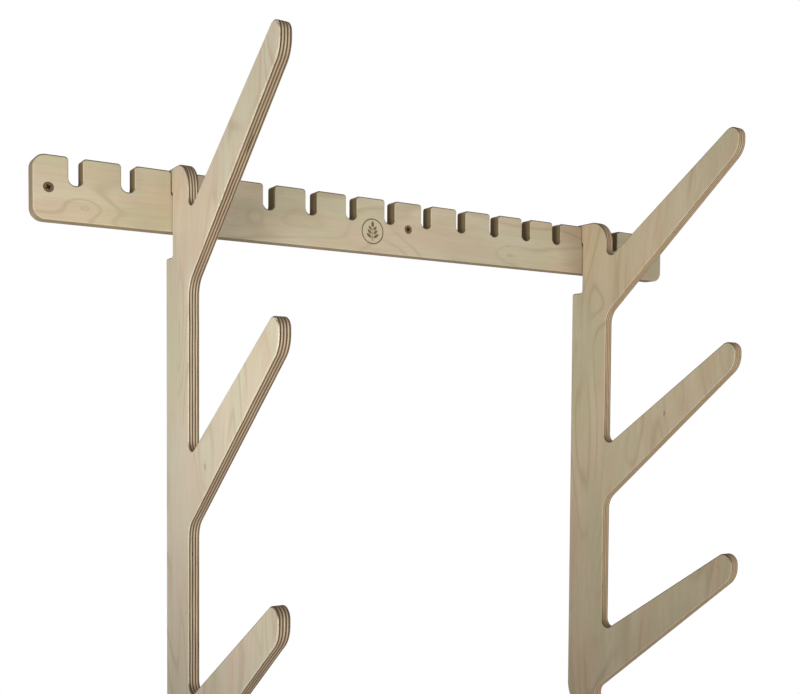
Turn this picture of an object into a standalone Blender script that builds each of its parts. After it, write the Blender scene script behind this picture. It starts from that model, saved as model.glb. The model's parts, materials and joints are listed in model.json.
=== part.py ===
"""Wall rack in birch plywood: a notched rail and two lift-off uprights with three arms each.

Lengths are in metres. X runs along the rail, +Y points into the wall and +Z is up. The wall is
the plane Y = 0. The origin lies on the rail's back face, in the solid wood between the two
middle notches. An upright's outline is drawn as (out, up) pairs: out is measured away from the
wall from the rail's front face, and up from the rail's top edge.
"""
import math

import bmesh
import bpy
from mathutils import Matrix, Vector

MM = 0.001
INCH = 0.0254
CLEARANCE = 0.3 * MM                     # between pieces that touch on the real rack

# Rail
NOTCH_PITCH = 2 * INCH
NOTCH_COUNT = 16
NOTCH_WIDTH = 13.4 * MM
NOTCH_DEPTH = 26.8 * MM
NOTCH_MOUTH_RADIUS = 3.5 * MM
RAIL_HEIGHT = 61.6 * MM
RAIL_THICKNESS = 18 * MM
RAIL_END_MARGIN = 40 * MM                # from the outer notch's centre to the rail's end
RAIL_CORNER_RADIUS = 12 * MM
RAIL_ARRIS = 0.8 * MM
ORIGIN_TO_RAIL_BOTTOM = 16 * MM

# Channel in the rail's back, which takes the uprights' lips
CHANNEL_DEPTH = 9 * MM
CHANNEL_TOP = 28 * MM                    # below the rail's top edge
CHANNEL_BOTTOM = 51 * MM
CHANNEL_SIDE_MARGIN = 9 * MM             # past the centre of the last notch that it serves
CHANNEL_CORNER_RADIUS = 4 * MM
LIP_SLOT_WIDTH = 13.2 * MM
LIP_SLOT_OVERLAP = 1.5 * MM              # how far a lip slot runs down into the channel

# Screws, one stud spacing apart
SCREW_SPACING = 16 * INCH
SCREW_LENGTH = 2.5 * INCH
SCREW_HEAD_RADIUS = 4.75 * MM
SCREW_HEAD_DEPTH = 3.2 * MM
SCREW_SHANK_RADIUS = 2.3 * MM
SCREW_POINT_LENGTH = 6 * MM
SCREW_SINK = 0.2 * MM                    # head top below the rail's face
DRIVE_RADIUS = 2.3 * MM
DRIVE_DEPTH = 2.4 * MM

# Uprights
UPRIGHT_NOTCHES = {"upright_left": 3, "upright_right": 14}
PLATE_THICKNESS = 12 * MM
PLATE_ARRIS = 0.6 * MM
FRONT_EDGE = 44 * MM
HUMP_TOP = 2.5 * MM
HUMP_FRONT_RADIUS = 28 * MM
HUMP_BACK_RADIUS = 9 * MM
LIP_THICKNESS = 8 * MM
LIP_BOTTOM = -45.5 * MM
LIP_CORNER_RADIUS = 2 * MM
FINGER_UNDERSIDE = -22.8 * MM            # just clear of the notch's round bottom
CUTOUT_BOTTOM = -86.5 * MM
CUTOUT_CORNER_RADIUS = 3 * MM
BACK_FOOT_RADIUS = 38 * MM
FRONT_FOOT_RADIUS = 13 * MM
FOOT_FRONT_EDGE = 34 * MM
FOOT_BOTTOM = -643 * MM
FOOT_ROOT_RADIUS = 14 * MM

# Arms
ARM_COUNT = 3
ARM_SPACING = 238 * MM
ARM_REACH = 245 * MM
FIRST_ARM_TOP = -50.8 * MM               # upper edge where it would meet the front edge
FIRST_ARM_UNDERSIDE = -118 * MM          # lower edge where it would meet the front edge
ARM_TOP_SLOPE = 0.678
ARM_UNDERSIDE_SLOPE = 0.831
CROTCH_RADIUS = 9.5 * MM
ROOT_RADIUS = 25 * MM
TIP_TOP_RADIUS = 11 * MM
TIP_UNDERSIDE_RADIUS = 25 * MM

CHORD_TOLERANCE = 0.08 * MM              # how far an arc's flats may stand off the true arc
ROUND_SEGMENTS = 24
ARRIS_ANGLE = math.radians(60)           # only edges sharper than this are softened
CUTTER_OVERRUN = 1 * MM                  # how far a cutter runs past the face it opens

RAIL_TOP = RAIL_HEIGHT - ORIGIN_TO_RAIL_BOTTOM
RAIL_FRONT = -RAIL_THICKNESS
SCREW_HEIGHT = RAIL_TOP - RAIL_HEIGHT / 2


def clear_scene():
    for item in list(bpy.data.objects):
        bpy.data.objects.remove(item, do_unlink=True)


def notch_x(number):
    """Centre of a notch; notch 1 is at the -X end."""
    return NOTCH_PITCH * (number - (NOTCH_COUNT + 1) / 2)


def rounded_outline(corners):
    """Points along a closed outline of (x, y, radius) corners, each rounded by an arc."""
    points = []
    for index, (x, y, radius) in enumerate(corners):
        here = Vector((x, y))
        to_last = (Vector(corners[index - 1][:2]) - here).normalized()
        to_next = (Vector(corners[(index + 1) % len(corners)][:2]) - here).normalized()
        if radius == 0:
            points.append(here)
            continue
        opening = to_last.angle(to_next)
        centre = here + (to_last + to_next).normalized() * radius / math.sin(opening / 2)
        start = here + to_last * radius / math.tan(opening / 2) - centre
        turn = math.pi - opening
        if to_last.x * to_next.y - to_last.y * to_next.x > 0:
            turn = -turn
        steps = max(2, math.ceil(abs(turn) / (2 * math.acos(1 - CHORD_TOLERANCE / radius))))
        for step in range(steps + 1):
            points.append(centre + Matrix.Rotation(turn * step / steps, 2) @ start)
    return points


def prism(name, points, lift, placing):
    """Closed solid: a flat outline in its own XY, extruded by lift along Z, then placed."""
    shape = bmesh.new()
    face = shape.faces.new([shape.verts.new((point.x, point.y, 0)) for point in points])
    extruded = bmesh.ops.extrude_face_region(shape, geom=[face])["geom"]
    moved = [item for item in extruded if isinstance(item, bmesh.types.BMVert)]
    bmesh.ops.translate(shape, verts=moved, vec=(0, 0, lift))
    bmesh.ops.transform(shape, matrix=placing, verts=shape.verts)
    bmesh.ops.recalc_face_normals(shape, faces=shape.faces)
    return add_object(name, shape)


def turned(name, profile, placing):
    """Closed solid of revolution about Z; the profile's ends are on the axis."""
    shape = bmesh.new()
    points = [shape.verts.new((radius, 0, height)) for radius, height in profile]
    edges = [shape.edges.new(pair) for pair in zip(points, points[1:])]
    bmesh.ops.spin(shape, geom=points + edges, axis=(0, 0, 1), cent=(0, 0, 0),
                   angle=math.tau, steps=ROUND_SEGMENTS, use_merge=True)
    bmesh.ops.remove_doubles(shape, verts=shape.verts, dist=1e-6)
    bmesh.ops.transform(shape, matrix=placing, verts=shape.verts)
    bmesh.ops.recalc_face_normals(shape, faces=shape.faces)
    return add_object(name, shape)


def add_object(name, shape):
    mesh = bpy.data.meshes.new(name)
    shape.to_mesh(mesh)
    shape.free()
    item = bpy.data.objects.new(name, mesh)
    bpy.context.scene.collection.objects.link(item)
    return item


def material(name, colour, roughness, metallic=0.0):
    finish = bpy.data.materials.new(name)
    finish.use_nodes = True
    shader = finish.node_tree.nodes["Principled BSDF"]
    shader.inputs["Base Color"].default_value = (*colour, 1)
    shader.inputs["Roughness"].default_value = roughness
    shader.inputs["Metallic"].default_value = metallic
    finish.diffuse_color = (*colour, 1)
    return finish


def soften(item, width):
    bevel = item.modifiers.new("arris", "BEVEL")
    bevel.width = width
    bevel.segments = 1
    bevel.limit_method = "ANGLE"
    bevel.angle_limit = ARRIS_ANGLE


def cut(item, cutter):
    cutter.hide_render = True
    cutter.display_type = "WIRE"
    boolean = item.modifiers.new(cutter.name, "BOOLEAN")
    boolean.operation = "DIFFERENCE"
    boolean.solver = "EXACT"
    boolean.object = cutter


def facing_wall(x, y, z):
    """Placing that stands an (x, height) outline up in XZ, its extrusion towards the room."""
    return Matrix.Translation((x, y, z)) @ Matrix.Rotation(math.pi / 2, 4, "X")


def notch_corners(centre):
    """Notch outline from its left mouth to its right mouth, with a half-round bottom."""
    half = NOTCH_WIDTH / 2
    nearly_half = half * 0.999           # keeps the two bottom arcs from sharing a point
    return [(centre - half, 0, NOTCH_MOUTH_RADIUS), (centre - half, -NOTCH_DEPTH, nearly_half),
            (centre + half, -NOTCH_DEPTH, nearly_half), (centre + half, 0, NOTCH_MOUTH_RADIUS)]


def rail_outline():
    end = notch_x(NOTCH_COUNT) + RAIL_END_MARGIN
    corners = [(-end, -RAIL_HEIGHT, RAIL_CORNER_RADIUS), (-end, 0, RAIL_CORNER_RADIUS)]
    for number in range(1, NOTCH_COUNT + 1):
        corners += notch_corners(notch_x(number))
    corners += [(end, 0, RAIL_CORNER_RADIUS), (end, -RAIL_HEIGHT, RAIL_CORNER_RADIUS)]
    return rounded_outline(corners)


def back_cutter(name, corners):
    """Cuts an outline into the rail's back, as deep as the channel."""
    lift = CHANNEL_DEPTH + CUTTER_OVERRUN
    return prism(name, rounded_outline(corners), lift, facing_wall(0, CUTTER_OVERRUN, RAIL_TOP))


def channel_cutter(name, first, last):
    """Stopped channel that runs behind the notches from first to last."""
    left = notch_x(first) - CHANNEL_SIDE_MARGIN
    right = notch_x(last) + CHANNEL_SIDE_MARGIN
    radius = CHANNEL_CORNER_RADIUS
    outline = [(left, -CHANNEL_BOTTOM, radius), (left, -CHANNEL_TOP, radius),
               (right, -CHANNEL_TOP, radius), (right, -CHANNEL_BOTTOM, radius)]
    return back_cutter(name, outline)


def lip_slot_cutter(number):
    """Deepens a notch's back half into the channel, so that a flat lip can drop in."""
    left = notch_x(number) - LIP_SLOT_WIDTH / 2
    right = notch_x(number) + LIP_SLOT_WIDTH / 2
    top = -NOTCH_DEPTH + NOTCH_WIDTH / 2
    bottom = -CHANNEL_TOP - LIP_SLOT_OVERLAP
    outline = [(left, bottom, 0), (left, top, 0), (right, top, 0), (right, bottom, 0)]
    return back_cutter(f"lip_slot_cutter_{number}", outline)


def screw_profile(grow, length):
    """Countersunk screw from its point up to its head; grow adds clearance all round."""
    shank = SCREW_SHANK_RADIUS + grow
    head = SCREW_HEAD_RADIUS + grow
    return [(0, -length), (shank, -length + SCREW_POINT_LENGTH), (shank, -SCREW_HEAD_DEPTH - grow),
            (head, -grow), (head, 0), (0, 0)]


def screw_placing(x):
    """Stands a screw's axis along Y, its head just under the rail's front face."""
    towards_wall = Matrix.Rotation(math.pi / 2, 4, "X")
    return Matrix.Translation((x, RAIL_FRONT + SCREW_SINK, SCREW_HEIGHT)) @ towards_wall


def screw_hole_cutter(x):
    profile = screw_profile(CLEARANCE, RAIL_THICKNESS + SCREW_POINT_LENGTH + CUTTER_OVERRUN)
    profile[-2:] = [(SCREW_HEAD_RADIUS + CLEARANCE, CUTTER_OVERRUN), (0, CUTTER_OVERRUN)]
    return turned(f"screw_hole_cutter_{x:.2f}", profile, screw_placing(x))


def make_rail(finish):
    rail = prism("rail", rail_outline(), RAIL_THICKNESS, facing_wall(0, 0, RAIL_TOP))
    soften(rail, RAIL_ARRIS)
    middle = NOTCH_COUNT // 2
    cut(rail, channel_cutter("left_channel_cutter", 1, middle))
    cut(rail, channel_cutter("right_channel_cutter", middle + 1, NOTCH_COUNT))
    for number in range(1, NOTCH_COUNT + 1):
        cut(rail, lip_slot_cutter(number))
    for x in (-SCREW_SPACING, 0, SCREW_SPACING):
        cut(rail, screw_hole_cutter(x))
    rail.data.materials.append(finish)


def make_screw(name, x, finish):
    screw = turned(name, screw_profile(0, SCREW_LENGTH), screw_placing(x))
    recess = [(0, -DRIVE_DEPTH), (DRIVE_RADIUS, -DRIVE_DEPTH / 2), (DRIVE_RADIUS, CUTTER_OVERRUN),
              (0, CUTTER_OVERRUN)]
    cut(screw, turned(f"{name}_drive_cutter", recess, screw_placing(x)))
    screw.data.materials.append(finish)


def arm_corners(drop):
    """Corners of one arm, from the crotch above it round its tip to its root below."""
    top = FIRST_ARM_TOP - drop
    underside = FIRST_ARM_UNDERSIDE - drop
    reach = ARM_REACH - FRONT_EDGE
    return [(FRONT_EDGE, top, CROTCH_RADIUS),
            (ARM_REACH, top + ARM_TOP_SLOPE * reach, TIP_TOP_RADIUS),
            (ARM_REACH, underside + ARM_UNDERSIDE_SLOPE * reach, TIP_UNDERSIDE_RADIUS),
            (FRONT_EDGE, underside, ROOT_RADIUS)]


def upright_outline():
    back = -RAIL_THICKNESS
    lip_front = -CHANNEL_DEPTH - CLEARANCE
    lip_back = lip_front - LIP_THICKNESS
    corners = [(lip_back, HUMP_TOP, HUMP_BACK_RADIUS), (FRONT_EDGE, HUMP_TOP, HUMP_FRONT_RADIUS)]
    for number in range(ARM_COUNT):
        corners += arm_corners(number * ARM_SPACING)
    corners.pop()                        # the last root runs on to the narrower foot
    set_back = FRONT_EDGE - FOOT_FRONT_EDGE
    foot_root = FIRST_ARM_UNDERSIDE - (ARM_COUNT - 1) * ARM_SPACING - set_back * ARM_UNDERSIDE_SLOPE
    corners += [(FOOT_FRONT_EDGE, foot_root, FOOT_ROOT_RADIUS),
                (FOOT_FRONT_EDGE, FOOT_BOTTOM, FRONT_FOOT_RADIUS),
                (back, FOOT_BOTTOM, BACK_FOOT_RADIUS),
                (back, CUTOUT_BOTTOM, CUTOUT_CORNER_RADIUS),
                (CLEARANCE, CUTOUT_BOTTOM, CUTOUT_CORNER_RADIUS),
                (CLEARANCE, FINGER_UNDERSIDE, 0),
                (lip_front, FINGER_UNDERSIDE, 0),
                (lip_front, LIP_BOTTOM, LIP_CORNER_RADIUS),
                (lip_back, LIP_BOTTOM, LIP_CORNER_RADIUS)]
    return rounded_outline(corners)


def make_upright(name, number, finish):
    """Plate that hangs in a notch; (out, up) becomes (-Y, Z), and its thickness runs along X."""
    points = [Vector((-out, up)) for out, up in upright_outline()]
    upright_axes = Matrix(((0, 0, 1, 0), (1, 0, 0, 0), (0, 1, 0, 0), (0, 0, 0, 1)))
    placing = Matrix.Translation((-PLATE_THICKNESS / 2, 0, 0)) @ upright_axes
    plate = prism(name, points, PLATE_THICKNESS, placing)
    plate.location = (notch_x(number), RAIL_FRONT, RAIL_TOP)
    soften(plate, PLATE_ARRIS)
    plate.data.materials.append(finish)


def main():
    clear_scene()
    plywood = material("birch_plywood", (0.62, 0.55, 0.41), 0.55)
    steel = material("bronze_screw", (0.16, 0.11, 0.07), 0.4, 0.9)
    make_rail(plywood)
    for name, x in (("screw_left", -SCREW_SPACING), ("screw_middle", 0), ("screw_right", SCREW_SPACING)):
        make_screw(name, x, steel)
    for name, number in UPRIGHT_NOTCHES.items():
        make_upright(name, number, plywood)


main()
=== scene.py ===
"""Looks of the birch wall rack: softened plywood with striped edges, real screws, studio light."""
import json
import math

import bmesh
import bpy
from mathutils import Matrix, Vector


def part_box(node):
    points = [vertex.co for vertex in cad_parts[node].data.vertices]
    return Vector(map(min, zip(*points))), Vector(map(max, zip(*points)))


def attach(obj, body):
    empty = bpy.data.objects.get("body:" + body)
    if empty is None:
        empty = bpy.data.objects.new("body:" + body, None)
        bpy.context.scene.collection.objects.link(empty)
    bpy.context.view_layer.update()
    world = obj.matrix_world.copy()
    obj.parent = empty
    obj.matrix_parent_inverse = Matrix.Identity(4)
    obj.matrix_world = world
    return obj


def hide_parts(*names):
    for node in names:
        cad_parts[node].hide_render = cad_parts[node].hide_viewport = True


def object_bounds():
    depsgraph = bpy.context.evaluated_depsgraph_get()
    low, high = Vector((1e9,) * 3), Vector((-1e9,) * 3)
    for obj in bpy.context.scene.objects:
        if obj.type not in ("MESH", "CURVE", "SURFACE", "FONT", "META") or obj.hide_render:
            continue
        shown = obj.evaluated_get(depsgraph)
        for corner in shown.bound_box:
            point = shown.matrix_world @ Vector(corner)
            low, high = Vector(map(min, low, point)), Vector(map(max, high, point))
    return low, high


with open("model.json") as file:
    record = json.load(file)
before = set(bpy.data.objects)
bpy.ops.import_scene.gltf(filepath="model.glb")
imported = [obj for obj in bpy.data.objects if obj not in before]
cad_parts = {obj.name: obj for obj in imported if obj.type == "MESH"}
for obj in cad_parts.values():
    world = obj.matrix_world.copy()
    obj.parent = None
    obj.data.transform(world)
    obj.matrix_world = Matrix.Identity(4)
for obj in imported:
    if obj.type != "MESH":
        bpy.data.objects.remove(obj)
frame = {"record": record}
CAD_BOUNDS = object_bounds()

MM = 0.001
INCH = 0.0254

# Places read from the frame
RAIL_LOW, RAIL_HIGH = (Vector(corner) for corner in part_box("rail"))
RAIL_TOP = RAIL_HIGH.z
RAIL_HEIGHT = RAIL_HIGH.z - RAIL_LOW.z
RAIL_THICKNESS = RAIL_HIGH.y - RAIL_LOW.y
RAIL_FRONT = RAIL_LOW.y
UPRIGHT_LOW, UPRIGHT_HIGH = (Vector(corner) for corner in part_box("upright_left"))
UPRIGHT_THICKNESS = UPRIGHT_HIGH.x - UPRIGHT_LOW.x

# Rail
NOTCH_PITCH = 2 * INCH
NOTCH_COUNT = 16
NOTCH_WIDTH = 13.4 * MM
NOTCH_DEPTH = 26.8 * MM
NOTCH_MOUTH_RADIUS = 3.5 * MM
RAIL_CORNER_RADIUS = 12 * MM
RAIL_PLIES = 13
CHANNEL_DEPTH = 9 * MM
CHANNEL_TOP = 28 * MM
CHANNEL_BOTTOM = 51 * MM
CHANNEL_SIDE_MARGIN = 9 * MM
CHANNEL_CORNER_RADIUS = 4 * MM
LIP_SLOT_WIDTH = 13.2 * MM
CUT_OVERLAP = 1.5 * MM                   # how far a slot's cutter runs into the channel
CUT_OVERSHOOT = 1 * MM                   # how far a cutter stands out of the face it cuts

# Screws
SCREW_HEAD_RADIUS = 4.75 * MM
SCREW_HEAD_DEPTH = 3.2 * MM
SCREW_SHANK_RADIUS = 2.3 * MM
SCREW_CORE_RADIUS = 1.65 * MM
SCREW_PLAIN_LENGTH = 20 * MM
SCREW_POINT_LENGTH = 6 * MM
THREAD_PITCH = 2.4 * MM
THREAD_HALF_WIDTH = 0.55 * MM
DRIVE_ARM_LENGTH = 2.7 * MM
DRIVE_ARM_HALF_WIDTH = 0.75 * MM
DRIVE_DEPTH = 2.2 * MM
DRIVE_TAPER = 0.45
DRIVE_MARGIN = 0.1 * MM                  # how far the painted shade in the recess may run past its sizes
SCREW_GAP = 0.3 * MM
SCREW_SEGMENTS = 64
HOLE_SEGMENTS = 48
THREAD_STEPS_PER_TURN = 28
SCREW_TURNS = {"screw_left": math.radians(28), "screw_middle": math.radians(52),
               "screw_right": math.radians(8)}

# Uprights, as (out, up) from the rail's front face and top edge
CLEARANCE = 0.3 * MM
UPRIGHT_PLIES = 9
FRONT_EDGE = 44 * MM
HUMP_TOP = 2.5 * MM
HUMP_FRONT_RADIUS = 28 * MM
HUMP_BACK_RADIUS = 9 * MM
LIP_THICKNESS = 8 * MM
LIP_BOTTOM = -45.5 * MM
LIP_CORNER_RADIUS = 2 * MM
FINGER_UNDERSIDE = -22.8 * MM
CUTOUT_BOTTOM = -86.5 * MM
CUTOUT_CORNER_RADIUS = 3 * MM
BACK_FOOT_RADIUS = 38 * MM
FRONT_FOOT_RADIUS = 13 * MM
FOOT_FRONT_EDGE = 34 * MM
FOOT_BOTTOM = -643 * MM
FOOT_ROOT_RADIUS = 14 * MM
ARM_COUNT = 3
ARM_SPACING = 238 * MM
ARM_REACH = 245 * MM
FIRST_ARM_TOP = -50.8 * MM
FIRST_ARM_UNDERSIDE = -118 * MM
ARM_TOP_SLOPE = 0.678
ARM_UNDERSIDE_SLOPE = 0.831
CROTCH_RADIUS = 9.5 * MM
ROOT_RADIUS = 25 * MM
TIP_TOP_RADIUS = 11 * MM
TIP_UNDERSIDE_RADIUS = 25 * MM

# Finish of the plywood; pin knots are in millimetres
ARC_TOLERANCE = 0.012 * MM
ARRIS_RADIUS = 1.6 * MM
ARRIS_STEPS = 6
FACE_PLY = 1.0 * MM
PLY_RELIEF = 0.08 * MM                   # how far the cross-grain plies stand back
PLY_STEP = 0.1 * MM
SHARP_ANGLE = math.radians(38)
PLY_WAVER = 0.1 * MM
GLUE_HALF_WIDTH = 0.07 * MM
GLUE_SHARE = 0.4
ARRIS_SHADE_SHARE = 0.85                     # share of the painted shade on the arrises that turn up or towards the wall
FACE_ROUGHNESS = (0.42, 0.58)
EDGE_ROUGHNESS = 0.8
WOOD_SPECULAR = 0.4
WOOD_RELIEF = 0.06 * MM
FIGURE_CYCLES = 9                        # growth rings per unit of the figure's noise
RING_SHARPNESS = 7.0
RING_SHARE = 0.42
KNOT_HALF_WIDTH = 0.9
KNOT_HALF_LENGTH = 2.8

# Flaws, in millimetres and degrees: (out, up) of pin knots, and nicks as
# (out, up, side, lean, length, width, depth)
PIN_KNOTS = {"upright_left": [(87.7, -294)], "upright_right": [(184, -188), (144, -243)]}
NICKS = {"upright_left": [(174, -10.3, -0.7, 39.7, 22, 1.2, 3), (241.5, 71.5, 5.6, -48, 8, 1.0, 2.4),
                          (240.6, -165.6, 5.7, -48, 6, 0.8, 2.0)],
         "upright_right": [(226, -416, 5.7, 34, 5, 0.8, 1.6)]}

# Rings in the figure, as (x, y, half width, half height) in millimetres on each board's face
EYES = {"rail": [(-372, -47, 22, 12), (-194, -35, 30, 15), (150, -48, 34, 14)],
        "upright_left": [(88, -294, 20, 44), (20, -170, 14, 60)],
        "upright_right": [(35, -104, 30, 36), (190, -395, 26, 50)]}
EYE_SWELL = 0.2                          # how far a ring's middle lifts the figure's noise
EYE_REACH = 1.8                          # in shares of the half sizes

# Burned mark on the rail, a sprig in a ring
MARK_PLACE = (-48.5 * MM, -37.6 * MM)
MARK_RADIUS = 14.6 * MM
MARK_RING_WIDTH = 1.4 * MM
MARK_DEPTH = 0.4 * MM
MARK_CHAR = 0.1 * MM
MARK_SEGMENTS = 72

# Camera, in degrees and metres
CAMERA_PLACE = Vector((-0.6364, -0.9854, -0.1868))
CAMERA_YAW = math.radians(32.483)        # to the right of straight at the wall
CAMERA_PITCH = math.radians(-1.918)
CAMERA_ROLL = math.radians(0.354)
CAMERA_LENS = 44.478
CAMERA_SHIFT = (0.0098, 0.1111)

# Stage
FLOOR_SIZE = 3.4
FLOOR_CENTRE_Y = -0.2
FLOOR_DROP = 0.85                        # from the rack's lowest point down to the floor
FLOOR_GLOW = 0.45                        # keeps the floor pale under low lights
AMBIENT_BELOW = 0.28
AMBIENT_ABOVE = 0.21

# Lamps: name, place, target, size, cone in degrees, watts, tint
LAMPS = [("broad key", (-1.18, -0.87, -0.44), (-0.22, -0.1, 0.1), 0.3, 73, 30.0, (1.0, 0.99, 0.96)),
         ("narrow key", (-1.44, -0.73, -0.37), (-0.18, -0.1, -0.14), 0.3, 40, 30.0, (1.0, 0.99, 0.96)),
         ("front fill", (0.93, -2.57, -0.68), (0.3, 0.0, 0.0), 0.5, 60, 77.0, (1.0, 0.99, 0.97)),
         ("high fill", (0.45, -1.6, 0.55), (-0.18, 0.0, 0.02), 0.3, 20, 11.0, (1.0, 0.99, 0.97)),
         ("back fill", (1.1, 1.9, -0.2), (0.0, 0.0, -0.2), 0.5, 45, 30.0, (1.0, 0.99, 0.97))]


# ---------------------------------------------------------------- outlines

def rounded_outline(corners):
    """Points along a closed outline of (x, y, radius) corners, each rounded by an arc."""
    points = []
    for index, (x, y, radius) in enumerate(corners):
        here = Vector((x, y))
        to_last = (Vector(corners[index - 1][:2]) - here).normalized()
        to_next = (Vector(corners[(index + 1) % len(corners)][:2]) - here).normalized()
        if radius == 0:
            points.append(here)
            continue
        opening = to_last.angle(to_next)
        centre = here + (to_last + to_next).normalized() * radius / math.sin(opening / 2)
        start = here + to_last * radius / math.tan(opening / 2) - centre
        turn = math.pi - opening
        if to_last.x * to_next.y - to_last.y * to_next.x > 0:
            turn = -turn
        steps = max(2, math.ceil(abs(turn) / (2 * math.acos(1 - ARC_TOLERANCE / radius))))
        for step in range(steps + 1):
            points.append(centre + Matrix.Rotation(turn * step / steps, 2) @ start)
    return points


def anticlockwise(points):
    area = sum(a.x * b.y - b.x * a.y for a, b in zip(points, points[1:] + points[:1]))
    return points if area > 0 else points[::-1]


def inset_outline(points, distance):
    """Moves an anticlockwise outline inwards, with mitred corners."""
    moved = []
    for index, here in enumerate(points):
        along_in = (here - points[index - 1]).normalized()
        along_out = (points[(index + 1) % len(points)] - here).normalized()
        inward_in = Vector((-along_in.y, along_in.x))
        inward_out = Vector((-along_out.y, along_out.x))
        mitre = (inward_in + inward_out) / (1 + inward_in.dot(inward_out))
        moved.append(here + mitre * distance)
    return moved


def notch_x(number):
    """Centre of a notch; notch 1 is at the -X end."""
    return NOTCH_PITCH * (number - (NOTCH_COUNT + 1) / 2)


def notch_corners(centre):
    half = NOTCH_WIDTH / 2
    nearly_half = half * 0.999
    return [(centre - half, 0, NOTCH_MOUTH_RADIUS), (centre - half, -NOTCH_DEPTH, nearly_half),
            (centre + half, -NOTCH_DEPTH, nearly_half), (centre + half, 0, NOTCH_MOUTH_RADIUS)]


def rail_outline():
    corners = [(RAIL_LOW.x, -RAIL_HEIGHT, RAIL_CORNER_RADIUS), (RAIL_LOW.x, 0, RAIL_CORNER_RADIUS)]
    for number in range(1, NOTCH_COUNT + 1):
        corners += notch_corners(notch_x(number))
    corners += [(RAIL_HIGH.x, 0, RAIL_CORNER_RADIUS),
                (RAIL_HIGH.x, -RAIL_HEIGHT, RAIL_CORNER_RADIUS)]
    return rounded_outline(corners)


def arm_corners(drop):
    """Corners of one arm, from the crotch above it round its tip to its root below."""
    top = FIRST_ARM_TOP - drop
    underside = FIRST_ARM_UNDERSIDE - drop
    reach = ARM_REACH - FRONT_EDGE
    return [(FRONT_EDGE, top, CROTCH_RADIUS),
            (ARM_REACH, top + ARM_TOP_SLOPE * reach, TIP_TOP_RADIUS),
            (ARM_REACH, underside + ARM_UNDERSIDE_SLOPE * reach, TIP_UNDERSIDE_RADIUS),
            (FRONT_EDGE, underside, ROOT_RADIUS)]


def upright_outline():
    back = -RAIL_THICKNESS
    lip_front = -CHANNEL_DEPTH - CLEARANCE
    lip_back = lip_front - LIP_THICKNESS
    corners = [(lip_back, HUMP_TOP, HUMP_BACK_RADIUS), (FRONT_EDGE, HUMP_TOP, HUMP_FRONT_RADIUS)]
    for number in range(ARM_COUNT):
        corners += arm_corners(number * ARM_SPACING)
    corners.pop()                        # the last root runs on to the narrower foot
    set_back = FRONT_EDGE - FOOT_FRONT_EDGE
    foot_root = FIRST_ARM_UNDERSIDE - (ARM_COUNT - 1) * ARM_SPACING - set_back * ARM_UNDERSIDE_SLOPE
    corners += [(FOOT_FRONT_EDGE, foot_root, FOOT_ROOT_RADIUS),
                (FOOT_FRONT_EDGE, FOOT_BOTTOM, FRONT_FOOT_RADIUS),
                (back, FOOT_BOTTOM, BACK_FOOT_RADIUS),
                (back, CUTOUT_BOTTOM, CUTOUT_CORNER_RADIUS),
                (CLEARANCE, CUTOUT_BOTTOM, CUTOUT_CORNER_RADIUS),
                (CLEARANCE, FINGER_UNDERSIDE, 0),
                (lip_front, FINGER_UNDERSIDE, 0),
                (lip_front, LIP_BOTTOM, LIP_CORNER_RADIUS),
                (lip_back, LIP_BOTTOM, LIP_CORNER_RADIUS)]
    return rounded_outline(corners)


# ---------------------------------------------------------------- mesh building

def add_piece(name, shape, placing=Matrix()):
    mesh = bpy.data.meshes.new(name)
    bmesh.ops.recalc_face_normals(shape, faces=shape.faces)
    shape.to_mesh(mesh)
    shape.free()
    piece = bpy.data.objects.new(name, mesh)
    piece.matrix_world = placing
    bpy.context.scene.collection.objects.link(piece)
    return piece


def wall_between(shape, lower, upper):
    """Joins two closed rings of as many points with quads."""
    for index in range(len(lower)):
        after = (index + 1) % len(lower)
        shape.faces.new((lower[index], lower[after], upper[after], upper[index]))


def stacked(name, outline, layers, placing=Matrix()):
    """Closed solid of rings of one outline; layers are (height, inset) pairs from the bottom up."""
    shape = bmesh.new()
    outline = anticlockwise(outline)
    rings = []
    for height, inset in layers:
        points = inset_outline(outline, inset) if inset else outline
        rings.append([shape.verts.new((point.x, point.y, height)) for point in points])
    shape.faces.new(rings[0][::-1])
    shape.faces.new(rings[-1])
    for lower, upper in zip(rings, rings[1:]):
        wall_between(shape, lower, upper)
    return add_piece(name, shape, placing)


def turned(name, profile, placing, segments):
    """Closed solid of revolution about Z; the profile's ends are on the axis."""
    shape = bmesh.new()
    points = [shape.verts.new((radius, 0, height)) for radius, height in profile]
    edges = [shape.edges.new(pair) for pair in zip(points, points[1:])]
    bmesh.ops.spin(shape, geom=points + edges, axis=(0, 0, 1), cent=(0, 0, 0),
                   angle=math.tau, steps=segments, use_merge=True)
    bmesh.ops.remove_doubles(shape, verts=shape.verts, dist=1e-6)
    return add_piece(name, shape, placing)


def arris_layers(thickness, plies):
    """Rounded arrises, with the cross-grain plies between them a hair lower than the others."""
    half = thickness / 2
    rounded = []
    for step in range(ARRIS_STEPS + 1):
        angle = math.pi / 2 * step / ARRIS_STEPS
        rounded.append((half - ARRIS_RADIUS * (1 - math.sin(angle)), ARRIS_RADIUS * (1 - math.cos(angle))))
    bottom = [(-height, inset) for height, inset in reversed(rounded)]
    middle = []
    inner = (thickness - 2 * FACE_PLY) / (plies - 2)
    for ply in range(1, plies - 1, 2):
        low = -half + FACE_PLY + (ply - 1) * inner
        high = low + inner
        if low > -half + ARRIS_RADIUS:
            middle += [(low + PLY_STEP, 0), (low + 2 * PLY_STEP, PLY_RELIEF)]
        if high < half - ARRIS_RADIUS:
            middle += [(high - 2 * PLY_STEP, PLY_RELIEF), (high - PLY_STEP, 0)]
    return bottom + middle + rounded


def subtract(piece, *cutters):
    for cutter in cutters:
        boolean = piece.modifiers.new(cutter.name, "BOOLEAN")
        boolean.operation = "DIFFERENCE"
        boolean.solver = "EXACT"
        boolean.object = cutter


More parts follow.
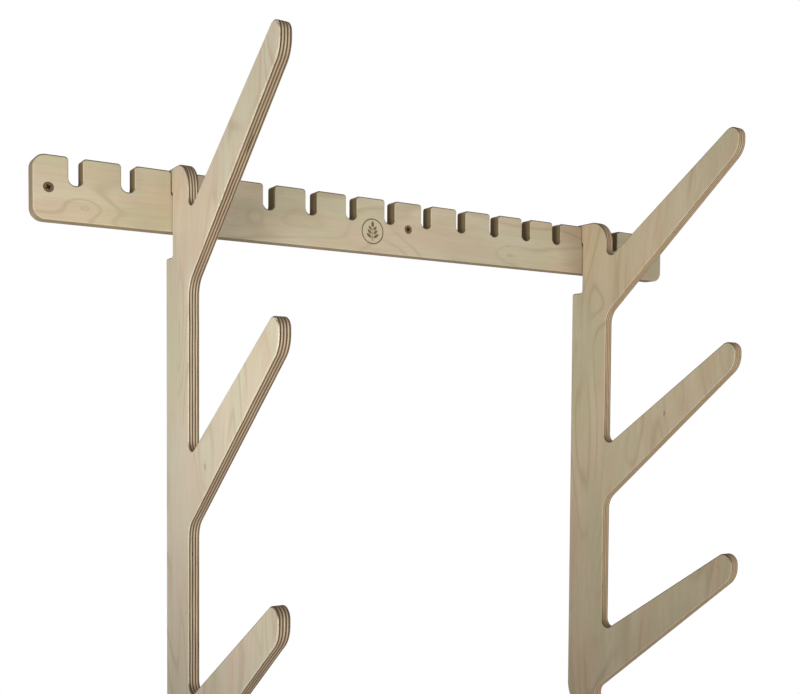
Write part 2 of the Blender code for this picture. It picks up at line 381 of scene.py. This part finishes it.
def bake_shape(piece):
    """Applies the piece's modifiers, smooths its shading and removes the cutters it used."""
    cutters = [item.object for item in piece.modifiers if item.type == "BOOLEAN"]
    bpy.context.view_layer.update()
    evaluated = piece.evaluated_get(bpy.context.evaluated_depsgraph_get())
    mesh = bpy.data.meshes.new_from_object(evaluated)
    piece.modifiers.clear()
    piece.data = mesh
    mesh.shade_smooth()
    mesh.set_sharp_from_angle(angle=SHARP_ANGLE)
    for cutter in cutters:
        bpy.data.objects.remove(cutter, do_unlink=True)
    weighted = piece.modifiers.new("flat faces stay flat", "WEIGHTED_NORMAL")
    weighted.keep_sharp = True
    weighted.weight = 100


# ---------------------------------------------------------------- shader helpers

class Graph:
    """Small helper for building a material's nodes from the left to the right."""

    def __init__(self, name):
        self.material = bpy.data.materials.new(name)
        self.material.use_nodes = True
        self.nodes = self.material.node_tree.nodes
        self.links = self.material.node_tree.links
        self.shader = self.nodes["Principled BSDF"]

    def add(self, kind, inputs=None, **settings):
        node = self.nodes.new(kind)
        for key, value in settings.items():
            setattr(node, key, value)
        for key, value in (inputs or {}).items():
            if isinstance(value, bpy.types.NodeSocket):
                self.links.new(value, node.inputs[key])
            else:
                node.inputs[key].default_value = value
        return node

    def math(self, operation, first, second=0.0):
        return self.add("ShaderNodeMath", {0: first, 1: second}, operation=operation).outputs[0]

    def product(self, first, *others):
        for other in others:
            first = self.math("MULTIPLY", first, other)
        return first

    def noise(self, vector, scale, detail=2.0, roughness=0.5, distortion=0.0):
        node = self.add("ShaderNodeTexNoise", {
            "Vector": vector, "Scale": scale, "Detail": detail,
            "Roughness": roughness, "Distortion": distortion})
        return node.outputs["Fac"]

    def stretch(self, vector, factors, offset=(0, 0, 0)):
        node = self.add("ShaderNodeMapping", {"Vector": vector, "Scale": factors, "Location": offset})
        return node.outputs["Vector"]

    def spread(self, value, low, high, to_low=0.0, to_high=1.0):
        node = self.add("ShaderNodeMapRange", {
            "Value": value, "From Min": low, "From Max": high, "To Min": to_low, "To Max": to_high})
        return node.outputs["Result"]

    def mix(self, factor, first, second, blend="MIX"):
        node = self.add("ShaderNodeMix", {0: factor, 6: first, 7: second},
                        data_type="RGBA", blend_type=blend)
        return node.outputs[2]

    def steps(self, value, stops):
        """Value that jumps at each (place, level) stop."""
        ramp = self.add("ShaderNodeValToRGB", {"Fac": value})
        ramp.color_ramp.interpolation = "CONSTANT"
        elements = ramp.color_ramp.elements
        elements[0].position = stops[0][0]
        elements[0].color = (*[stops[0][1]] * 3, 1)
        elements.remove(elements[1])
        for place, level in stops[1:]:
            element = elements.new(place)
            element.color = (*[level] * 3, 1)
        return ramp.outputs["Color"]

    def mix_number(self, factor, first, second):
        return self.add("ShaderNodeMix", {0: factor, 2: first, 3: second}, data_type="FLOAT").outputs[0]

    def bump(self, height, distance, strength):
        node = self.add("ShaderNodeBump", {"Height": height, "Distance": distance, "Strength": strength})
        return node.outputs["Normal"]

    def to_shader(self, socket_name, output):
        self.links.new(output, self.shader.inputs[socket_name])


def colour(red, green, blue):
    """Linear colour from sRGB shares of 255."""
    def linear(share):
        share /= 255
        return share / 12.92 if share <= 0.04045 else ((share + 0.055) / 1.055) ** 2.4
    return (linear(red), linear(green), linear(blue), 1)


# ---------------------------------------------------------------- materials

CREAM = colour(234, 223, 201)
GREENISH = colour(222, 214, 184)
PINKISH = colour(229, 208, 183)
FIGURE = colour(188, 163, 130)
FIBRE = colour(208, 192, 162)
FLECK = colour(140, 104, 70)
LIGHT_PLY = colour(236, 216, 182)
SLANT_TONE = colour(142, 113, 82)
END_GRAIN = colour(182, 165, 143)
GLUE_LINE = colour(92, 65, 42)
# painted shade inside the rail's notches
NOTCH_SHADE = colour(140, 119, 84)
VOID = colour(34, 24, 17)
# painted shade on the arrises that turn up or towards the wall
ARRIS_SHADE_COLOUR = colour(86, 74, 58)
CHAR_DARK = colour(98, 80, 48)
CHAR_LIGHT = colour(150, 130, 88)
BRONZE_DARK = colour(84, 60, 43)
BRONZE_LIGHT = colour(152, 122, 92)
BRONZE_WORN = colour(190, 164, 132)
# painted shade in the screws' drive recesses
DRIVE_SHADE = colour(26, 20, 15)
FLOOR_DARKER = colour(240, 240, 239)
FLOOR_LIGHTER = colour(248, 248, 247)

# Each board's seed, tint, darker plies and how much browner its slanting edges are
BOARD_LOOKS = {"rail": (4, (0.93, 0.92, 0.86, 1), colour(146, 126, 104), 0.0),
               "upright_left": (1, (1, 1, 1, 1), colour(92, 63, 39), 0.35),
               "upright_right": (9, (1.0, 0.96, 0.87, 1), colour(170, 139, 112), 0.0)}


def reach_from(graph, place, x, y, half_width, half_height):
    """Distance from a spot on the face, in shares of its half sizes; all in millimetres."""
    scale = (1 / (half_width * MM), 1 / (half_height * MM), 0)
    offset = graph.stretch(place, scale, (-x / half_width, -y / half_height, 0))
    return graph.add("ShaderNodeVectorMath", {0: offset}, operation="LENGTH").outputs["Value"]


def veneer(graph, place, along, tint, eyes):
    """Rotary-cut birch with the grain along y: patches, flame figure, fibres and short flecks."""
    warp = graph.noise(graph.stretch(along, (5, 2, 5)), 1.0, 1.0)
    patches = graph.noise(graph.stretch(along, (26, 6, 9), (3, 1, 0)), 1.0, 2.0, 0.55, 0.6)
    base = graph.mix(graph.spread(patches, 0.42, 0.58), GREENISH, PINKISH)
    glow = graph.noise(graph.stretch(along, (34, 9, 9), (0, 7, 0)), 1.0, 2.0)
    base = graph.mix(graph.spread(glow, 0.4, 0.66, 0.0, 0.7), base, CREAM)

    field = graph.noise(graph.stretch(along, (15, 3.4, 9)), 1.0, 1.5, 0.4, 0.5)
    field = graph.math("ADD", field, warp)
    strong = graph.spread(graph.noise(graph.stretch(along, (18, 6, 9), (5, 0, 0)), 1.0, 1.0), 0.38, 0.6)
    for eye in eyes:
        swell = graph.spread(reach_from(graph, place, *eye), EYE_REACH, 0.0)
        swell = graph.product(swell, swell)
        field = graph.math("ADD", field, graph.product(swell, EYE_SWELL))
        strong = graph.math("MAXIMUM", strong, swell)
    rings = graph.math("SINE", graph.product(field, FIGURE_CYCLES * math.tau))
    lines = graph.math("POWER", graph.spread(rings, -1.0, 1.0), RING_SHARPNESS)
    base = graph.mix(graph.product(lines, strong, RING_SHARE), base, FIGURE)

    streaks = graph.noise(graph.stretch(along, (170, 6, 40)), 1.0, 3.0, 0.6)
    base = graph.mix(graph.spread(streaks, 0.42, 0.75, 0.0, 0.34), base, FIBRE)
    fibres = graph.noise(graph.stretch(along, (1300, 40, 300)), 1.0, 2.0, 0.6)
    base = graph.mix(graph.spread(fibres, 0.52, 0.8, 0.0, 0.34), base, FIGURE)
    flecks = graph.noise(graph.stretch(along, (260, 42, 90), (1, 0, 4)), 1.0, 1.0)
    base = graph.mix(graph.spread(flecks, 0.78, 0.86, 0.0, 0.4), base, FLECK)
    return graph.mix(1.0, base, tint, "MULTIPLY"), fibres, streaks


def pin_knots(graph, place, base, spots):
    """Small dark knots, elongated along the grain, at chosen (x, y) places."""
    for x, y in spots:
        reach = reach_from(graph, place, x, y, KNOT_HALF_WIDTH, KNOT_HALF_LENGTH)
        base = graph.mix(graph.spread(reach, 1.6, 0.5, 0.0, 0.8), base, FLECK)
    return base


def ply_levels(thickness, plies):
    """Shares of the thickness at which one ply ends and the next starts."""
    first = FACE_PLY / thickness
    inner = (1 - 2 * first) / (plies - 2)
    return [first + inner * ply for ply in range(plies - 1)]


def shade_notches(graph, place, inside, base):
    """Painted shade on the walls and floors of the rail's notches, below their rounded mouths, where the
    notches' sides keep the light out.
    """
    across = graph.add("ShaderNodeSeparateXYZ", {0: place})
    reach = notch_x(NOTCH_COUNT) + NOTCH_WIDTH
    between_ends = graph.math("LESS_THAN", graph.math("ABSOLUTE", across.outputs["X"]), reach)
    in_notch = graph.math("GREATER_THAN", across.outputs["Y"], -NOTCH_DEPTH - 1 * MM)
    below_mouth = graph.spread(across.outputs["Y"], -1 * MM, -NOTCH_MOUTH_RADIUS)
    bands = graph.noise(graph.stretch(place, (90, 20, 420), (0, 2, 0)), 1.0, 2.0)
    uneven = graph.spread(bands, 0.3, 0.6, 0.7, 1.0)
    amount = graph.product(between_ends, in_notch, below_mouth, inside, uneven)
    return graph.mix(amount, base, NOTCH_SHADE)


def ply_masks(graph, place, depth, thickness, plies, seed):
    """Masks across the thickness: the cross-grain plies, all but the face plies, the glue lines."""
    waver = graph.noise(graph.stretch(place, (55, 55, 1), (seed, 0, 0)), 1.0, 1.0)
    wavy = graph.math("ADD", depth, graph.spread(waver, 0.3, 0.7, -PLY_WAVER, PLY_WAVER))
    level = graph.math("ADD", graph.math("DIVIDE", wavy, thickness), 0.5)
    edges = ply_levels(thickness, plies)
    cross_stops = [(0, 0)] + [(edge, (index + 1) % 2) for index, edge in enumerate(edges)]
    line = GLUE_HALF_WIDTH / thickness
    glue_stops = [(0, 0)]
    for edge in edges:
        glue_stops += [(edge - line, 1), (edge + line, 0)]
    inside_stops = [(0, 0), (edges[0], 1), (edges[-1], 0)]
    return [graph.steps(level, stops) for stops in (cross_stops, inside_stops, glue_stops)]


def edge_wood(graph, place, facing, grit, cross, glue, look, grain_axis):
    """Striped plies on the edges, more even where an edge faces along or slants across the grain."""
    seed, tint, dark_tone, slant_browning = look
    broad = graph.noise(graph.stretch(place, (26, 26, 600), (seed, 3, 0)), 1.0, 2.0)
    light_ply = graph.mix(graph.spread(grit, 0.3, 0.8, 0.0, 0.25), LIGHT_PLY, FIGURE)
    light_ply = graph.mix(graph.spread(broad, 0.38, 0.62, 0.55, 0.0), light_ply, END_GRAIN)
    dark_ply = graph.mix(graph.spread(broad, 0.3, 0.7, 0.0, 0.3), dark_tone, END_GRAIN)
    dark_ply = graph.mix(graph.spread(grit, 0.4, 0.8, 0.0, 0.25), dark_ply, GLUE_LINE)
    edge = graph.mix(cross, light_ply, dark_ply)

    slant = graph.math("MINIMUM", graph.math("ABSOLUTE", facing.outputs["X"]),
                       graph.math("ABSOLUTE", facing.outputs["Y"]))
    edge = graph.mix(graph.spread(slant, 0.2, 0.6, 0.0, slant_browning), edge, SLANT_TONE)
    end_grain = graph.mix(graph.spread(grit, 0.3, 0.75, 0.0, 0.25), END_GRAIN, dark_tone)
    towards_grain = graph.math("ABSOLUTE", facing.outputs[grain_axis])
    edge = graph.mix(graph.spread(towards_grain, 0.82, 0.97, 0.0, 0.45), edge, end_grain)
    edge = graph.mix(graph.product(glue, GLUE_SHARE), edge, GLUE_LINE)

    gaps = graph.noise(graph.stretch(place, (75, 75, 520), (seed * 3, 0, seed)), 1.0, 1.0)
    edge = graph.mix(graph.product(graph.spread(gaps, 0.735, 0.75), cross), edge, VOID)
    return graph.mix(1.0, edge, tint, "MULTIPLY")


def paint_arris_shade(graph, depth, facing, thickness, grain_axis, base):
    """Painted shade: machined arrises are darker where they turn up or towards the wall, the sides that
    get less light.
    """
    near_face = graph.spread(graph.math("ABSOLUTE", depth), thickness / 2 - ARRIS_RADIUS,
                             thickness / 2 - 0.5 * ARRIS_RADIUS)
    away = graph.spread(facing.outputs["Y"], 0.05, 0.4)
    if grain_axis == "Y":
        to_wall = graph.spread(facing.outputs["X"], -0.05, -0.35)
        away = graph.math("MAXIMUM", away, to_wall)
    return graph.mix(graph.product(near_face, away, ARRIS_SHADE_SHARE), base, ARRIS_SHADE_COLOUR)


def plywood(node, thickness, plies, grain_axis):
    """Plywood whose plies lie across local Z and whose face grain runs along X or Y."""
    look = BOARD_LOOKS[node]
    seed, tint = look[:2]
    graph = Graph(f"{node} plywood")
    coordinates = graph.add("ShaderNodeTexCoord")
    place = coordinates.outputs["Object"]
    facing = graph.add("ShaderNodeSeparateXYZ", {0: coordinates.outputs["Normal"]})
    depth = graph.add("ShaderNodeSeparateXYZ", {0: place}).outputs["Z"]

    along = place
    if grain_axis == "X":
        quarter_turn = graph.add("ShaderNodeMapping", {"Vector": place, "Rotation": (0, 0, math.pi / 2)})
        along = quarter_turn.outputs["Vector"]
    along = graph.stretch(along, (1, 1, 1), (seed * 0.37, seed * 0.71, seed * 0.05))
    face, fibres, streaks = veneer(graph, place, along, tint, EYES[node])
    face = pin_knots(graph, place, face, PIN_KNOTS.get(node, []))

    grit = graph.noise(place, 1900.0, 2.0, 0.6)
    cross, inside, glue = ply_masks(graph, place, depth, thickness, plies, seed)
    edge = edge_wood(graph, place, facing, grit, cross, glue, look, grain_axis)
    body = graph.mix(inside, face, edge)
    # painted shade inside the rail's notches
    if node == "rail":
        body = shade_notches(graph, place, inside, body)
    # painted shade on the arrises that turn up or towards the wall
    graph.to_shader("Base Color", paint_arris_shade(graph, depth, facing, thickness, grain_axis, body))

    rough_face = graph.spread(streaks, 0.3, 0.8, *FACE_ROUGHNESS)
    graph.to_shader("Roughness", graph.mix_number(inside, rough_face, EDGE_ROUGHNESS))
    fibre_relief = graph.math("ADD", graph.product(fibres, 0.6), graph.product(streaks, 0.6))
    relief = graph.mix_number(inside, fibre_relief, grit)
    graph.to_shader("Normal", graph.bump(relief, WOOD_RELIEF, 0.5))
    graph.shader.inputs["Specular IOR Level"].default_value = WOOD_SPECULAR
    return graph.material


def bronze_steel():
    graph = Graph("bronze coated steel")
    place = graph.add("ShaderNodeTexCoord").outputs["Object"]
    mottling = graph.noise(place, 900.0, 3.0, 0.6)
    wear = graph.spread(graph.noise(place, 2300.0, 2.0, 0.7), 0.52, 0.62)
    base = graph.mix(graph.spread(mottling, 0.35, 0.65), BRONZE_DARK, BRONZE_LIGHT)
    base = graph.mix(graph.product(wear, 0.6), base, BRONZE_WORN)

    # Painted shade in the drive's recess, darker with depth.
    height = graph.add("ShaderNodeSeparateXYZ", {0: place}).outputs["Z"]
    across = graph.add("ShaderNodeVectorMath", {0: graph.stretch(place, (1, 1, 0))}, operation="LENGTH")
    in_drive = graph.math("LESS_THAN", across.outputs["Value"], DRIVE_ARM_LENGTH + DRIVE_MARGIN)
    above_shank = graph.math("GREATER_THAN", height, -DRIVE_DEPTH - DRIVE_MARGIN)
    deeper = graph.spread(height, -0.04 * MM, -0.5 * MM, 0.0, 0.9)
    recess_shade = graph.product(in_drive, above_shank, deeper)
    graph.to_shader("Base Color", graph.mix(recess_shade, base, DRIVE_SHADE))
    graph.to_shader("Roughness", graph.spread(mottling, 0.3, 0.7, 0.34, 0.52))
    graph.to_shader("Normal", graph.bump(mottling, 0.03 * MM, 0.4))
    graph.shader.inputs["Metallic"].default_value = 0.7
    return graph.material


def burned_wood():
    graph = Graph("burned wood")
    place = graph.add("ShaderNodeTexCoord").outputs["Object"]
    char = graph.noise(graph.stretch(place, (300, 2200, 300)), 1.0, 3.0, 0.6)
    graph.to_shader("Base Color", graph.mix(char, CHAR_DARK, CHAR_LIGHT))
    graph.to_shader("Normal", graph.bump(char, 0.03 * MM, 0.5))
    graph.shader.inputs["Roughness"].default_value = 0.85
    return graph.material


def floor_paint():
    graph = Graph("pale floor")
    place = graph.add("ShaderNodeTexCoord").outputs["Object"]
    clouds = graph.noise(place, 3.0, 3.0)
    graph.to_shader("Base Color", graph.mix(clouds, FLOOR_DARKER, FLOOR_LIGHTER))
    graph.shader.inputs["Roughness"].default_value = 0.9
    graph.shader.inputs["Emission Color"].default_value = (1, 1, 1, 1)
    graph.shader.inputs["Emission Strength"].default_value = FLOOR_GLOW
    return graph.material


# ---------------------------------------------------------------- pieces

def facing_room(y):
    """Local X, Y and Z become X, Z and -Y: the way the rail's outline stands."""
    return Matrix.Translation((0, y, RAIL_TOP)) @ Matrix.Rotation(math.pi / 2, 4, "X")


def back_cutter(name, outline):
    """Cuts an outline into the rail's back to the channel's depth."""
    middle = RAIL_HIGH.y - RAIL_THICKNESS / 2
    over = RAIL_HIGH.y + CUT_OVERSHOOT - middle
    floor = RAIL_HIGH.y - CHANNEL_DEPTH - middle
    return stacked(name, outline, [(-over, 0), (-floor, 0)], facing_room(middle))


def channel_cutter(name, first, last):
    left = notch_x(first) - CHANNEL_SIDE_MARGIN
    right = notch_x(last) + CHANNEL_SIDE_MARGIN
    radius = CHANNEL_CORNER_RADIUS
    corners = [(left, -CHANNEL_BOTTOM, radius), (left, -CHANNEL_TOP, radius),
               (right, -CHANNEL_TOP, radius), (right, -CHANNEL_BOTTOM, radius)]
    return back_cutter(name, rounded_outline(corners))


def lip_slot_cutter(number):
    left = notch_x(number) - LIP_SLOT_WIDTH / 2
    right = notch_x(number) + LIP_SLOT_WIDTH / 2
    top = -NOTCH_DEPTH + NOTCH_WIDTH / 2
    bottom = -CHANNEL_TOP - CUT_OVERLAP
    corners = [(left, bottom, 0), (left, top, 0), (right, top, 0), (right, bottom, 0)]
    return back_cutter(f"lip_slot_cutter_{number}", rounded_outline(corners))


def screw_place(node):
    """Stands a screw's axis along Y with its head towards the room, where the frame has it."""
    low, high = (Vector(corner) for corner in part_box(node))
    centre = (low + high) / 2
    return Matrix.Translation((centre.x, low.y, centre.z)) @ Matrix.Rotation(math.pi / 2, 4, "X")


def screw_hole_cutter(node):
    shank = SCREW_SHANK_RADIUS + SCREW_GAP
    head = SCREW_HEAD_RADIUS + SCREW_GAP
    deep = -RAIL_THICKNESS - 2 * CUT_OVERSHOOT
    proud = 2 * CUT_OVERSHOOT
    profile = [(0, deep), (shank, deep), (shank, -SCREW_HEAD_DEPTH - SCREW_GAP),
               (head, -SCREW_GAP), (head, proud), (0, proud)]
    return turned(f"hole_cutter_{node}", profile, screw_place(node), HOLE_SEGMENTS)


def make_rail(finish):
    middle = RAIL_HIGH.y - RAIL_THICKNESS / 2
    layers = arris_layers(RAIL_THICKNESS, RAIL_PLIES)
    rail = stacked("rail_board", rail_outline(), layers, facing_room(middle))
    half_count = NOTCH_COUNT // 2
    subtract(rail, channel_cutter("left_channel_cutter", 1, half_count),
             channel_cutter("right_channel_cutter", half_count + 1, NOTCH_COUNT))
    subtract(rail, *(lip_slot_cutter(number) for number in range(1, NOTCH_COUNT + 1)))
    subtract(rail, *(screw_hole_cutter(node) for node in SCREW_TURNS))
    subtract(rail, mark_solids("mark_cutter", -MARK_DEPTH, MARK_DEPTH, 0))
    bake_shape(rail)
    finish_piece(rail, finish, "rail")


def nick_cutter(name, placing, out, up, side, lean, length, width, depth):
    """Slim lens that takes a chip out of a plate; all in millimetres and degrees."""
    shape = bmesh.new()
    bmesh.ops.create_uvsphere(shape, u_segments=20, v_segments=12, radius=1)
    stretch = Matrix.Diagonal((length / 2 * MM, depth / 2 * MM, width / 2 * MM, 1))
    turn = Matrix.Rotation(math.radians(lean), 4, "Z")
    bmesh.ops.transform(shape, matrix=turn @ stretch, verts=shape.verts)
    return add_piece(name, shape, placing @ Matrix.Translation(Vector((out, up, side)) * MM))


def make_upright(node, finish):
    """Local X, Y and Z become -Y, Z and -X, so that the outline's (out, up) stand in the room."""
    low, high = (Vector(corner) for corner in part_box(node))
    axes = Matrix(((0, 0, -1, 0), (-1, 0, 0, 0), (0, 1, 0, 0), (0, 0, 0, 1)))
    placing = Matrix.Translation(((low.x + high.x) / 2, RAIL_FRONT, RAIL_TOP)) @ axes
    layers = arris_layers(UPRIGHT_THICKNESS, UPRIGHT_PLIES)
    plate = stacked(f"{node}_plate", upright_outline(), layers, placing)
    subtract(plate, *(nick_cutter(f"{node}_nick_cutter_{number}", placing, *nick)
                      for number, nick in enumerate(NICKS[node])))
    bake_shape(plate)
    finish_piece(plate, finish, node)


def cross_outline():
    long = DRIVE_ARM_LENGTH
    short = DRIVE_ARM_HALF_WIDTH
    quarter = [(long, -short), (long, short), (short, short)]
    points = []
    for turn in range(4):
        spin = Matrix.Rotation(turn * math.pi / 2, 2)
        points += [spin @ Vector(point) for point in quarter]
    return points


def drive_cutter(name, placing, spin):
    """Tapered cross recess."""
    shape = bmesh.new()
    outline = cross_outline()
    rings = []
    for height, scale in ((-DRIVE_DEPTH, DRIVE_TAPER), (0, 1), (CUT_OVERSHOOT, 1)):
        rings.append([shape.verts.new((*(point * scale), height)) for point in outline])
    shape.faces.new(rings[0][::-1])
    shape.faces.new(rings[-1])
    for lower, upper in zip(rings, rings[1:]):
        wall_between(shape, lower, upper)
    return add_piece(name, shape, placing @ Matrix.Rotation(spin, 4, "Z"))


def thread_into(shape, top, bottom):
    """Adds a closed helical ridge round the core between two heights."""
    turns = (top - bottom) / THREAD_PITCH
    steps = int(turns * THREAD_STEPS_PER_TURN)
    rows = []
    for step in range(steps + 1):
        share = step / steps
        angle = share * turns * math.tau
        height = top + (bottom - top) * share
        fade = min(1, share * turns, (1 - share) * turns)
        shrink = min(1, (height - bottom + 1 * MM) / SCREW_POINT_LENGTH)
        root = SCREW_CORE_RADIUS * shrink * 0.9
        crest = SCREW_CORE_RADIUS * shrink + (SCREW_SHANK_RADIUS - SCREW_CORE_RADIUS) * fade
        ring = []
        for radius, lift in ((root, -THREAD_HALF_WIDTH), (crest, 0), (root, THREAD_HALF_WIDTH)):
            across = Vector((math.cos(angle), math.sin(angle))) * radius
            ring.append(shape.verts.new((*across, height + lift)))
        rows.append(ring)
    for upper, lower in zip(rows, rows[1:]):
        wall_between(shape, upper, lower)
    shape.faces.new(rows[0])
    shape.faces.new(rows[-1][::-1])


def make_screw(node, finish, spin):
    low, high = (Vector(corner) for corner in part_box(node))
    length = high.y - low.y
    placing = screw_place(node)
    rim = 0.25 * MM
    core = [(0, -length), (SCREW_CORE_RADIUS, -length + SCREW_POINT_LENGTH),
            (SCREW_CORE_RADIUS, -SCREW_PLAIN_LENGTH - 1 * MM)]
    shank = [(SCREW_SHANK_RADIUS, -SCREW_PLAIN_LENGTH),
             (SCREW_SHANK_RADIUS, -SCREW_HEAD_DEPTH - 0.4 * MM)]
    head = [(SCREW_SHANK_RADIUS + 0.3 * MM, -SCREW_HEAD_DEPTH), (SCREW_HEAD_RADIUS - 0.05 * MM, -rim),
            (SCREW_HEAD_RADIUS, -rim * 0.6), (SCREW_HEAD_RADIUS - 0.12 * MM, 0), (0, 0)]
    screw = turned(f"{node}_body", core + shank + head, placing, SCREW_SEGMENTS)
    subtract(screw, drive_cutter(f"{node}_drive_cutter", placing, spin))
    bake_shape(screw)
    shape = bmesh.new()
    shape.from_mesh(screw.data)
    thread_into(shape, -SCREW_PLAIN_LENGTH - 2 * MM, -length + 1 * MM)
    shape.to_mesh(screw.data)
    shape.free()
    finish_piece(screw, finish, node)


def leaf_outline(length, width, steps=18):
    """Pointed leaf that grows up from the origin."""
    side = [Vector((width / 2 * math.sin(math.pi * step / steps) ** 0.8, length * step / steps))
            for step in range(steps + 1)]
    return side + [Vector((-point.x, point.y)) for point in reversed(side[1:-1])]


def sprig_outlines():
    """Stem, one top leaf and three pairs of side leaves, none touching another."""
    stem = [Vector(point) * MM for point in ((-0.45, -10.8), (0.45, -10.8), (0.35, 3.4), (-0.35, 3.4))]
    top_leaf = (0, 4.2, 0, 7.6, 3.8)
    side_leaves = [(side * 1.0, -7.4 + 4.3 * row, side * -(56 - 7 * row), 8.4 - 1.0 * row, 3.4 - 0.2 * row)
                   for row in range(3) for side in (-1, 1)]
    outlines = [stem]
    for x, y, lean, length, width in [top_leaf] + side_leaves:
        spin = Matrix.Rotation(math.radians(lean), 2)
        outlines.append([spin @ point + Vector((x, y)) * MM
                         for point in leaf_outline(length * MM, width * MM)])
    return outlines


def mark_solids(name, low, high, grow):
    """The mark's shapes as closed solids between two heights, each outline grown a little."""
    shape = bmesh.new()
    centre = Vector(MARK_PLACE)
    for outline in sprig_outlines():
        points = [point + centre for point in inset_outline(anticlockwise(outline), -grow)]
        lower, upper = ([shape.verts.new((*point, height)) for point in points] for height in (low, high))
        shape.faces.new(lower[::-1])
        shape.faces.new(upper)
        wall_between(shape, lower, upper)
    rings = []
    inner, outer = MARK_RADIUS - MARK_RING_WIDTH - grow, MARK_RADIUS + grow
    spins = [Matrix.Rotation(math.tau * step / MARK_SEGMENTS, 2) for step in range(MARK_SEGMENTS)]
    for radius, height in ((inner, low), (outer, low), (outer, high), (inner, high)):
        points = [spin @ Vector((radius, 0)) + centre for spin in spins]
        rings.append([shape.verts.new((*point, height)) for point in points])
    for ring, following in zip(rings, rings[1:] + rings[:1]):
        wall_between(shape, ring, following)
    return add_piece(name, shape, facing_room(RAIL_FRONT))


def make_mark(finish):
    """Charred floor of the engraved mark."""
    mark = mark_solids("rail_burned_mark", -MARK_DEPTH - MARK_CHAR, -MARK_DEPTH + MARK_CHAR, 0.05 * MM)
    mark.data.materials.append(finish)
    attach(mark, "rail_body")


def finish_piece(piece, finish, node):
    piece.data.materials.clear()
    piece.data.materials.append(finish)
    body = next(body for body, nodes in frame["record"]["behaviour"]["bodies"].items() if node in nodes)
    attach(piece, body)
    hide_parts(node)


# ---------------------------------------------------------------- stage

def make_camera():
    data = bpy.data.cameras.new("camera")
    data.lens = CAMERA_LENS
    data.sensor_width = 36
    data.shift_x, data.shift_y = CAMERA_SHIFT
    camera = bpy.data.objects.new("camera", data)
    bpy.context.scene.collection.objects.link(camera)
    forward = Vector((math.sin(CAMERA_YAW) * math.cos(CAMERA_PITCH),
                      math.cos(CAMERA_YAW) * math.cos(CAMERA_PITCH), math.sin(CAMERA_PITCH)))
    right = Vector((math.cos(CAMERA_YAW), -math.sin(CAMERA_YAW), 0))
    level_up = right.cross(forward)
    rolled_right = right * math.cos(CAMERA_ROLL) + level_up * math.sin(CAMERA_ROLL)
    up = level_up * math.cos(CAMERA_ROLL) - right * math.sin(CAMERA_ROLL)
    turn = Matrix((rolled_right, up, -forward)).transposed().to_4x4()
    camera.matrix_world = Matrix.Translation(CAMERA_PLACE) @ turn
    bpy.context.scene.camera = camera


def make_floor(finish):
    height = CAD_BOUNDS[0][2] - FLOOR_DROP
    bpy.ops.mesh.primitive_plane_add(size=FLOOR_SIZE, location=(0, FLOOR_CENTRE_Y, height))
    floor = bpy.context.object
    floor.name = "floor"
    floor.data.materials.append(finish)
    floor.visible_diffuse = False        # its glow doesn't light the rack


def spot_light(name, place, target, size, cone, power, tint):
    """Soft round light that fades out towards the edge of its cone."""
    data = bpy.data.lights.new(name, "SPOT")
    data.shadow_soft_size = size
    data.spot_size = math.radians(cone)
    data.spot_blend = 1
    data.energy = power
    data.color = tint
    lamp = bpy.data.objects.new(name, data)
    lamp.location = place
    lamp.rotation_euler = (Vector(target) - Vector(place)).to_track_quat("-Z", "Y").to_euler()
    bpy.context.scene.collection.objects.link(lamp)


def make_world():
    """White to the camera; the light that it gives is greyer and a little stronger from below."""
    world = bpy.data.worlds.new("studio")
    bpy.context.scene.world = world
    world.use_nodes = True
    nodes, links = world.node_tree.nodes, world.node_tree.links
    shader = nodes["Background"]
    rays = nodes.new("ShaderNodeLightPath")
    direction = nodes.new("ShaderNodeTexCoord")
    height = nodes.new("ShaderNodeSeparateXYZ")
    glow = nodes.new("ShaderNodeMapRange")
    glow.inputs["From Min"].default_value = -1.0
    glow.inputs["To Min"].default_value = AMBIENT_BELOW
    glow.inputs["To Max"].default_value = AMBIENT_ABOVE
    seen = nodes.new("ShaderNodeMix")
    seen.inputs[3].default_value = 1.0
    links.new(direction.outputs["Generated"], height.inputs[0])
    links.new(height.outputs["Z"], glow.inputs["Value"])
    links.new(rays.outputs["Is Camera Ray"], seen.inputs[0])
    links.new(glow.outputs["Result"], seen.inputs[2])
    links.new(seen.outputs[0], shader.inputs["Strength"])
    shader.inputs["Color"].default_value = (1, 1, 1, 1)


def make_lights():
    for lamp in LAMPS:
        spot_light(*lamp)


def main():
    make_camera()
    bpy.context.scene.view_settings.view_transform = "Standard"
    make_rail(plywood("rail", RAIL_THICKNESS, RAIL_PLIES, "X"))
    for node in ("upright_left", "upright_right"):
        make_upright(node, plywood(node, UPRIGHT_THICKNESS, UPRIGHT_PLIES, "Y"))
    steel = bronze_steel()
    for node, spin in SCREW_TURNS.items():
        make_screw(node, steel, spin)
    make_mark(burned_wood())
    make_floor(floor_paint())
    make_lights()
    make_world()


main()
